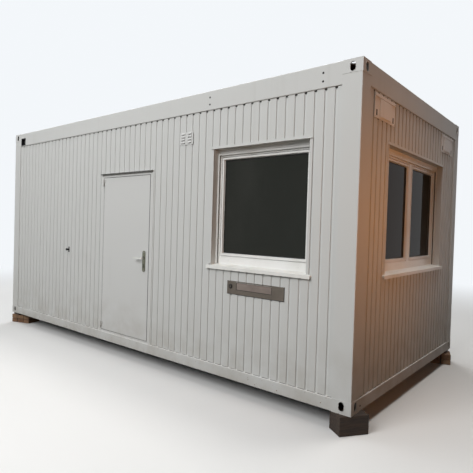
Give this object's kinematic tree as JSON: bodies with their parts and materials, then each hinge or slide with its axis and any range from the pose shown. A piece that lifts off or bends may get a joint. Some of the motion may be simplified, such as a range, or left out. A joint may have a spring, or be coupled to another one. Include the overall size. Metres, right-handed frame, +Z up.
{
  "type": "portable site cabin",
  "caption": "Portable steel-framed site cabin with ribbed walls, a hinged door, shuttered windows, corner lifting boxes and brick stacks under its corners.",
  "frame": {"origin": "on the ground under the middle of the steel frame", "axes": "+X along the cabin towards the end with the wide window, -Y out of the face with the door, +Z up"},
  "size_m": [6.2134, 3.0582, 3.09],
  "materials": {
    "frame_paint": "light grey enamel on folded steel, a little dusty",
    "panel_paint": "light grey coil-coated ribbed sheet",
    "door_paint": "light grey enamel, smooth",
    "lining_board": "white coated chipboard",
    "floor_cover": "grey vinyl on chipboard",
    "galvanised": "galvanised sheet, matt spangle",
    "insulation": "mineral wool",
    "window_plastic": "white plastic profile",
    "window_glazing": "clear double glazing, dark behind",
    "sill_coat": "white coated folded aluminium",
    "stainless": "brushed stainless steel",
    "handle_metal": "anodised aluminium, rubbed",
    "black_plastic": "black plastic and rubber",
    "brick": "rough fired brick",
    "timber": "dark weathered timber"
  },
  "bodies": {
    "cabin": {"corner_castings": "frame_paint", "corner_posts": "frame_paint", "bottom_rails": "frame_paint", "top_rails": "frame_paint", "floor_crossmembers": "galvanised", "floor_underside_sheet": "galvanised", "floor_deck": "floor_cover", "roof_sheet": "galvanised", "roof_insulation": "insulation", "ceiling_lining": "lining_board", "wall_linings": "lining_board", "front_wall_left": "panel_paint", "front_wall_over_door": "panel_paint", "front_wall_middle": "panel_paint", "front_wall_under_window": "panel_paint", "front_wall_over_window": "panel_paint", "front_wall_right": "panel_paint", "end_wall_front": "panel_paint", "end_wall_back": "panel_paint", "end_wall_under_window": "panel_paint", "end_wall_over_window": "panel_paint", "back_wall": "panel_paint", "left_end_wall": "panel_paint", "door_jambs": "door_paint", "door_head": "door_paint", "door_threshold": "door_paint", "hinge_fixed_halves": "handle_metal", "front_window_frame": "window_plastic", "end_window_frame": "window_plastic", "window_glass": "window_glazing", "shutter_boxes": "window_plastic", "window_surrounds": "frame_paint", "window_sills": "sill_coat", "vent_grille": "panel_paint", "vent_covers": "panel_paint", "letter_plate": "stainless", "power_inlet": "black_plastic", "door_stop": "black_plastic", "brick_stacks": "brick", "timber_packers": "timber"},
    "door": {"door_leaf": "door_paint", "hinge_leaf_halves": "handle_metal", "handle_plates": "handle_metal"},
    "lever": {"lever_handle": "handle_metal"},
    "flap": {"letter_flap": "stainless"}
  },
  "joints": [
    {"name": "door_swing", "type": "hinge", "parent": "cabin", "child": "door", "pos_m": [-0.495, -1.502, 1.285], "axis": [0, 0, -1], "range_deg": [0, 174]},
    {"name": "lever_turn", "type": "hinge", "parent": "door", "child": "lever", "pos_m": [0.3475, -1.4665, 1.284], "axis": [0, -1, 0], "range_deg": [0, 40], "stiffness_Nm_per_rad": 2, "springref_deg": -34.38},
    {"name": "flap_lift", "type": "hinge", "parent": "cabin", "child": "flap", "pos_m": [1.9885, -1.4875, 1.1356], "axis": [-1, 0, 0], "range_deg": [0, 75]}
  ]
}
